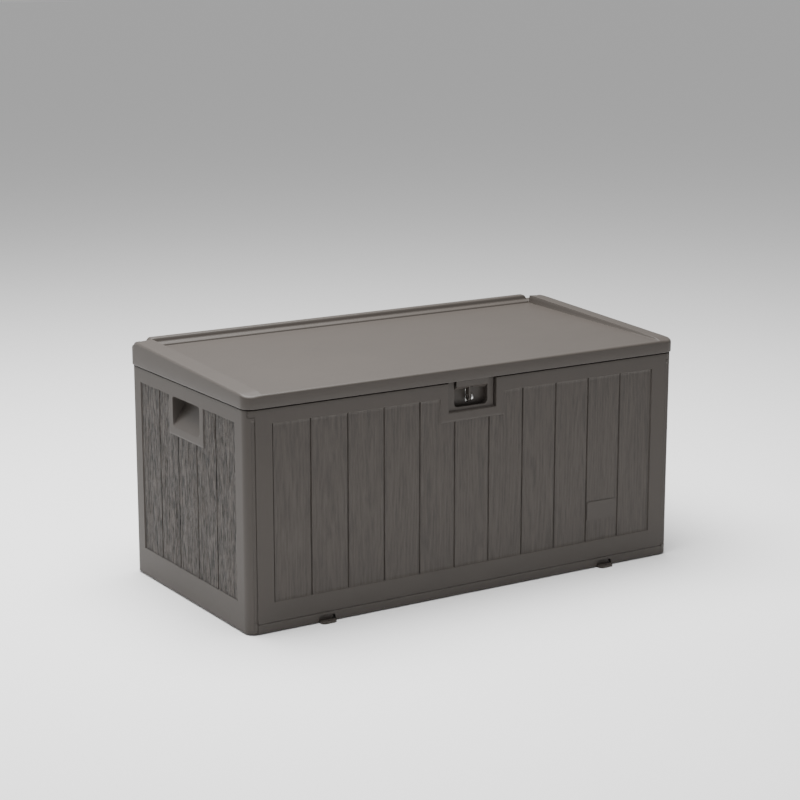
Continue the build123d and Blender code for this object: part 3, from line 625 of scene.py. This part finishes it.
def plan_distance(x, y):
    """Distance inside the lid's rounded outline."""
    qx = np.abs(x) - (LID_HALF_W - LID_R)
    qy = np.abs(y) - (LID_HALF_D - LID_R)
    outside = np.hypot(np.clip(qx, 0, None), np.clip(qy, 0, None))
    return LID_R - outside - np.clip(np.maximum(qx, qy), None, 0)


def outline_marks(half):
    """Marks that follow the lid's rounded corners and its rounded upper edge."""
    places = [half - LID_R * k / LID_CORNER_STEPS for k in range(LID_CORNER_STEPS + 1)]
    places += [half - r for r in LID_EDGE_STEPS]
    return [(sign * place, (0,)) for sign in (-1, 1) for place in places]


def lid_lines():
    """Grid lines of the lid."""
    xs = outline_marks(LID_HALF_W)
    xs += [(sign * v, (0,)) for sign in (-1, 1) for v in LID_LINES_X]
    xs += [(hinge + sign * v, SLOT_LINES) for hinge in HINGE_X for sign in (-1, 1) for v in SLOT_EDGES]
    ys = outline_marks(LID_HALF_D) + [(v, (0,)) for v in LID_LINES_Y]
    return (grid_lines(-LID_HALF_W, LID_HALF_W, LID_PITCH, xs),
            grid_lines(-LID_HALF_D, LID_HALF_D, LID_PITCH, ys))


def outline_loop(n, m):
    """Indices of the border of an n by m grid, counter-clockwise."""
    index = np.arange(n * m).reshape(n, m)
    return np.concatenate([index[:-1, 0], index[-1, :-1], index[:0:-1, -1], index[0, :0:-1]])


def slot_lift(x, y):
    """How far the skirt's lower edge is raised: it clears the wall's knuckles at the rear."""
    lift = np.zeros(len(x))
    for hinge in HINGE_X:
        near = (np.abs(np.abs(x - hinge) - SLOT_MIDDLE) < SLOT_HALF) & (y > LID_HALF_D - ON_EDGE)
        lift = np.where(near, SLOT_LIFT, lift)
    return lift


def lid_mesh():
    """Lid as one closed moulding: shaped top, rounded skirt with hinge slots, hollow inside."""
    gx, gy = np.meshgrid(*lid_lines(), indexing="ij")
    px, py = plan_point(gx, gy, 0)
    top = np.minimum(lid_height(px, py), LID_TOP)
    outer_z = top - soft_edge(plan_distance(px, py), LID_EDGE_R)
    qx, qy = plan_point(gx, gy, WALL)
    points = [np.stack([px, py, outer_z], -1).reshape(-1, 3),
              np.stack([qx, qy, outer_z - WALL], -1).reshape(-1, 3)]
    n, m = gx.shape
    count = n * m
    loop = outline_loop(n, m)
    border_x, border_y = gx.reshape(-1)[loop], gy.reshape(-1)[loop]
    lift = slot_lift(border_x, border_y)
    rows = [loop]
    for i, (inset, rise, share) in enumerate(SKIRT_ROWS):
        rx, ry = plan_point(border_x, border_y, inset)
        points.append(np.stack([rx, ry, LID_Z + rise + lift * share], -1))
        rows.append(2 * count + i * len(loop) + np.arange(len(loop)))
    rows.append(loop + count)
    quads, _ = sheet_cells(np.ones((n - 1, m - 1), bool))
    faces = [quads, quads[:, ::-1] + count]
    for upper, lower in zip(rows, rows[1:]):
        faces.append(np.stack([np.roll(upper, -1), upper, lower, np.roll(lower, -1)], -1))
    return mesh_of("lid_moulding", np.concatenate(points), np.concatenate(faces).tolist(), sharp=LID_SHARP)


# ---- hinges ---------------------------------------------------------------------------------
# A knuckle's arc in degrees, then where its strap joins the wall it is moulded on.
LID_KNUCKLE = ((200, 410), LID_HALF_D - 2.5, (HINGE_Z + 26, HINGE_Z + 3))
WALL_KNUCKLE = ((-50, 160), HALF_D - 1.5, (HINGE_Z - 8, HINGE_Z - 30))
LID_KNUCKLE_HALF = 9.5
WALL_KNUCKLE_X = (10.5, 30.0)
KNUCKLE_STEPS = 20
KNUCKLE_EDGE = 0.6


def bar_x(name, outline_yz, limits, body, material):
    """A (y, z) outline carried along X, with rounded edges."""
    points = [(x, y, z) for x in limits for y, z in outline_yz]
    mesh = mesh_of(name, points, prism_faces(len(outline_yz)), sharp=FLAT_SHARP)
    solid = bmesh.new()
    solid.from_mesh(mesh)
    bmesh.ops.recalc_face_normals(solid, faces=solid.faces)
    solid.to_mesh(mesh)
    solid.free()
    bevel(link(name, mesh, body, material), KNUCKLE_EDGE)


def knuckle_outline(arc, strap_y, strap_z):
    """Round eye about the hinge line, open to a strap that joins the wall."""
    start, end = arc
    points = []
    for k in range(KNUCKLE_STEPS + 1):
        angle = math.radians(start + (end - start) * k / KNUCKLE_STEPS)
        points.append((HINGE_Y + KNUCKLE_R * math.cos(angle), HINGE_Z + KNUCKLE_R * math.sin(angle)))
    return points + [(strap_y, z) for z in strap_z]


def hinge_knuckles():
    """Eyes of the three hinges: two on the wall and one on the lid at each place."""
    for name, x in zip(("left", "middle", "right"), HINGE_X):
        bar_x("lid_knuckle_" + name, knuckle_outline(*LID_KNUCKLE),
              (x - LID_KNUCKLE_HALF, x + LID_KNUCKLE_HALF), "lid", MATERIALS["lid"])
        for mark, sign in (("a", -1), ("b", 1)):
            limits = sorted(x + sign * v for v in WALL_KNUCKLE_X)
            bar_x("wall_knuckle_" + name + "_" + mark, knuckle_outline(*WALL_KNUCKLE), limits,
                  "root", MATERIALS["plain"])


# ---- materials ------------------------------------------------------------------------------
TAUPE = (0.0450, 0.0376, 0.0318)
ZINC = (0.55, 0.55, 0.54)
EVEN = (1, 1, 1)                 # noise with no direction
STREAK = 26.0                    # size of the grain's streaks, stretched by a wall's own scale
GRAIN_SHARES = (0.20, 0.62, 0.30)        # of the relief, the streaks and the pores
GRAIN_ROUGH = (0.68, 0.50)
SKIN_ROUGH = (0.46, 0.62)
PORE_SCALE = 2.6
PORE_DEPTH = 0.6
RESIN_GLOSS = 0.42
GRIT = 0.00008                   # bump heights in metres
BRUSHING = 0.00004


class Nodes:
    """Short way to build a node tree."""

    def __init__(self, name):
        self.material = bpy.data.materials.new(name)
        self.material.use_nodes = True
        self.tree = self.material.node_tree
        self.shader = self.tree.nodes["Principled BSDF"]

    def add(self, kind, **values):
        """Node of a kind, with its inputs or settings filled in."""
        node = self.tree.nodes.new(kind)
        for key, value in values.items():
            if key in node.inputs:
                node.inputs[key].default_value = value
            else:
                setattr(node, key, value)
        return node

    def join(self, output, target):
        """Link an output to an input."""
        self.tree.links.new(output, target)

    def place(self, scale):
        """Object coordinates stretched by scale."""
        coords = self.add("ShaderNodeTexCoord")
        mapping = self.add("ShaderNodeMapping")
        mapping.inputs["Scale"].default_value = scale
        self.join(coords.outputs["Object"], mapping.inputs["Vector"])
        return mapping.outputs["Vector"]

    def attribute(self, name):
        """A value that the mesh carries."""
        return self.add("ShaderNodeAttribute", attribute_name=name).outputs["Fac"]

    def noise(self, scale, size, detail, rough):
        """Noise in object space."""
        node = self.add("ShaderNodeTexNoise", Scale=size, Detail=detail, Roughness=rough)
        self.join(self.place(scale), node.inputs["Vector"])
        return node.outputs["Fac"]

    def math(self, operation, a, b):
        """Sum or product of outputs and numbers."""
        node = self.add("ShaderNodeMath", operation=operation)
        for socket, value in zip(node.inputs, (a, b)):
            if isinstance(value, (int, float)):
                socket.default_value = value
            else:
                self.join(value, socket)
        return node.outputs[0]

    def ramp(self, value, stops):
        """Colour that follows value through (place, colour) stops."""
        node = self.add("ShaderNodeValToRGB")
        while len(node.color_ramp.elements) < len(stops):
            node.color_ramp.elements.new(0.5)
        for element, (place, colour) in zip(node.color_ramp.elements, stops):
            element.position = place
            element.color = (*colour, 1)
        self.join(value, node.inputs["Fac"])
        return node.outputs["Color"]

    def blend(self, factor, first, second):
        """Colour that goes from first to second with factor."""
        node = self.add("ShaderNodeMix", data_type="RGBA")
        self.join(factor, node.inputs["Factor"])
        self.join(first, node.inputs["A"])
        self.join(second, node.inputs["B"])
        return node.outputs["Result"]

    def spread(self, value, low, high):
        """A 0 to 1 value carried to low to high."""
        node = self.add("ShaderNodeMapRange")
        node.inputs["To Min"].default_value = low
        node.inputs["To Max"].default_value = high
        self.join(value, node.inputs["Value"])
        return node.outputs["Result"]

    def bump(self, height, distance, strength=1.0, after=None):
        """Normal of a bump, laid over the one before it."""
        node = self.add("ShaderNodeBump", Distance=distance, Strength=strength)
        self.join(height, node.inputs["Height"])
        if after is not None:
            self.join(after, node.inputs["Normal"])
        return node.outputs["Normal"]


def tint(colour, factor):
    """A colour made lighter or darker."""
    return tuple(c * factor for c in colour)


def grained_resin(name, colour, along, depth, contrast, fleck):
    """Resin with moulded wood grain on its plank field and a fine even skin on its frame."""
    n = Nodes(name)
    relief = n.attribute("relief")
    field = n.attribute("field")
    fine = n.noise(along, STREAK, 5.0, 0.62)
    pores = n.noise(tuple(a * PORE_SCALE for a in along), STREAK, 3.0, 0.7)
    cloud = n.noise(EVEN, 6.0, 3.0, 0.5)
    parts = [n.math("MULTIPLY", part, share) for part, share in zip((relief, fine, pores), GRAIN_SHARES)]
    grain = n.math("ADD", n.math("ADD", parts[0], parts[1]), parts[2])
    low, high = tint(colour, 1 - contrast), tint(colour, 1 + contrast)
    grained = n.ramp(grain, [(0.26, low), (0.46, colour), (0.72, high)])
    skin = n.ramp(cloud, [(0.3, tint(colour, 0.95)), (0.7, tint(colour, 1.05))])
    n.join(n.blend(field, skin, grained), n.shader.inputs["Base Color"])
    n.join(n.spread(grain, *GRAIN_ROUGH), n.shader.inputs["Roughness"])
    grit = n.noise(EVEN, fleck, 2.0, 0.6)
    first = n.bump(n.math("MULTIPLY", fine, field), depth)
    second = n.bump(n.math("MULTIPLY", pores, field), depth * PORE_DEPTH, after=first)
    n.join(n.bump(grit, GRIT, after=second), n.shader.inputs["Normal"])
    n.shader.inputs["Specular IOR Level"].default_value = RESIN_GLOSS
    return n.material


def plain_resin(name, colour, size, depth):
    """Fine spark-eroded resin with faint mottling and streaks."""
    n = Nodes(name)
    cloud = n.noise(EVEN, 5.0, 4.0, 0.55)
    skin = n.noise(EVEN, size, 3.0, 0.6)
    streak = n.noise((1.0, 6.0, 6.0), 16.0, 4.0, 0.6)
    shade = n.math("ADD", n.math("MULTIPLY", cloud, 0.5), n.math("MULTIPLY", streak, 0.5))
    n.join(n.ramp(shade, [(0.32, tint(colour, 0.94)), (0.5, colour), (0.68, tint(colour, 1.06))]),
           n.shader.inputs["Base Color"])
    n.join(n.spread(skin, *SKIN_ROUGH), n.shader.inputs["Roughness"])
    first = n.bump(skin, depth)
    n.join(n.bump(streak, depth * 0.8, 0.6, first), n.shader.inputs["Normal"])
    n.shader.inputs["Specular IOR Level"].default_value = RESIN_GLOSS
    return n.material


def plated_metal(name, colour, rough, brushed):
    """Plated metal with fine brushing and faint smudges."""
    n = Nodes(name)
    lines = n.noise(brushed, 90.0, 3.0, 0.6)
    smudge = n.noise(EVEN, 40.0, 3.0, 0.6)
    n.join(n.ramp(smudge, [(0.3, tint(colour, 0.88)), (0.7, colour)]), n.shader.inputs["Base Color"])
    n.join(n.spread(lines, rough * 0.8, rough * 1.25), n.shader.inputs["Roughness"])
    n.join(n.bump(lines, BRUSHING), n.shader.inputs["Normal"])
    n.shader.inputs["Metallic"].default_value = 1.0
    return n.material


MATERIALS = {
    "wall_front": grained_resin("resin_front_grain", TAUPE, along=(9.0, 9.0, 0.9), depth=0.0008,
                                contrast=0.24, fleck=900.0),
    "wall_end": grained_resin("resin_end_grain", tint(TAUPE, 0.98), along=(12.0, 12.0, 2.4), depth=0.0034,
                              contrast=0.92, fleck=700.0),
    "plain": plain_resin("resin_plain", TAUPE, size=900.0, depth=0.00012),
    "lid": plain_resin("resin_lid_skin", tint(TAUPE, 1.04), size=700.0, depth=0.00014),
    "inner": plain_resin("resin_inner_skin", tint(TAUPE, 0.92), size=600.0, depth=0.00018),
    "label": plain_resin("label_satin", tint(TAUPE, 0.97), size=1400.0, depth=0.00004),
    "zinc": plated_metal("zinc_plate", ZINC, rough=0.34, brushed=(1, 1, 9)),
}
FEET = ["foot_front_left", "foot_front_right", "foot_rear_left", "foot_rear_right"]
CAD_FINISH = {
    "plain": ["base_tray", "lock_housing"] + FEET,
    "inner": ["lid_inner_panel"],
    "lid": ["lid_hasp"],
    "label": ["label_plate"],
    "zinc": ["lock_staple", "staple_screws", "housing_screws", "hasp_screws", "lid_screws", "wall_screws",
             "hinge_pin_left", "hinge_pin_middle", "hinge_pin_right"],
}
SOFTENED = {                     # radius of the rounded edges, and the CAD nodes that get it
    0.5: ["lock_staple", "label_plate"],
    0.7: ["lock_housing"],
    0.8: ["base_tray", "lid_inner_panel", "lid_hasp"],
    1.4: FEET,
}


def finish_cad_nodes():
    """Give each CAD node that stays its material and, where it shows, rounded edges."""
    for finish, names in CAD_FINISH.items():
        for name in names:
            obj = NODES[name]
            obj.data.materials.clear()
            obj.data.materials.append(MATERIALS[finish])
    for width, names in SOFTENED.items():
        for name in names:
            bevel(NODES[name], width)


# ---- studio (metres and watts) --------------------------------------------------------------
FLOOR_HALF = 30.0
FLOOR_GREY = 0.92
FLOOR_ROUGH = 0.9
WORLD_LIGHT = 0.46
SOFTBOXES = {                    # place, aim, size and power
    "top_softbox": ((-0.4, 0.3, 3.4), (0, 0, 0.4), 2.8, 360),
    "left_softbox": ((-2.6, 3.2, 1.6), (0, 0, 0.3), 1.6, 34),
}
CAMERA_PLACE = (-2.676, -4.237, 1.573)
CAMERA_TURN = (76.914, 0.0, -32.125)
LENS = 95.68
SENSOR = 36.0


def area_light(name, place, aim, size, power):
    """Soft square light aimed at a point."""
    data = bpy.data.lights.new(name, "AREA")
    data.shape = "SQUARE"
    data.size = size
    data.energy = power
    obj = bpy.data.objects.new(name, data)
    obj.location = place
    obj.rotation_euler = (Vector(aim) - Vector(place)).to_track_quat("-Z", "Y").to_euler()
    bpy.context.scene.collection.objects.link(obj)


def floor_plane():
    """Plain pale floor."""
    r = FLOOR_HALF
    mesh = bpy.data.meshes.new("floor")
    mesh.from_pydata([(-r, -r, 0), (r, -r, 0), (r, r, 0), (-r, r, 0)], [], [(0, 1, 2, 3)])
    floor = bpy.data.objects.new("floor", mesh)
    bpy.context.scene.collection.objects.link(floor)
    paper = Nodes("floor_paper")
    paper.shader.inputs["Base Color"].default_value = (FLOOR_GREY, FLOOR_GREY, FLOOR_GREY, 1)
    paper.shader.inputs["Roughness"].default_value = FLOOR_ROUGH
    mesh.materials.append(paper.material)


def studio():
    """Pale floor, even light from all round and two softboxes."""
    floor_plane()
    world = bpy.data.worlds.new("studio")
    bpy.context.scene.world = world
    world.use_nodes = True
    background = world.node_tree.nodes["Background"]
    background.inputs["Color"].default_value = (1, 1, 1, 1)
    background.inputs["Strength"].default_value = WORLD_LIGHT
    for name, settings in SOFTBOXES.items():
        area_light(name, *settings)


def photo_camera():
    """Camera at the reference three-quarter view."""
    data = bpy.data.cameras.new("camera")
    data.sensor_width = SENSOR
    data.lens = LENS
    data.dof.use_dof = False
    obj = bpy.data.objects.new("camera", data)
    obj.location = CAMERA_PLACE
    obj.rotation_euler = [math.radians(angle) for angle in CAMERA_TURN]
    bpy.context.scene.collection.objects.link(obj)
    bpy.context.scene.camera = obj


# ---- build ----------------------------------------------------------------------------------
long_wall("front_wall_moulding", "front_panel", side=0, latch=True, seed=11)
long_wall("rear_wall_moulding", "rear_panel", side=2, latch=False, seed=23)
end_wall("left_wall_moulding", "left_panel", side=3, seed=37)
end_wall("right_wall_moulding", "right_panel", side=1, seed=51)
for post, (sx, sy) in {"front_left": (-1, -1), "front_right": (1, -1), "rear_left": (-1, 1),
                       "rear_right": (1, 1)}.items():
    corner_post("post_box_" + post, sx, sy)
lid = link("lid_moulding", lid_mesh(), "lid", MATERIALS["lid"])
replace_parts(lid, "lid_shell")
hinge_knuckles()
finish_cad_nodes()
studio()
photo_camera()
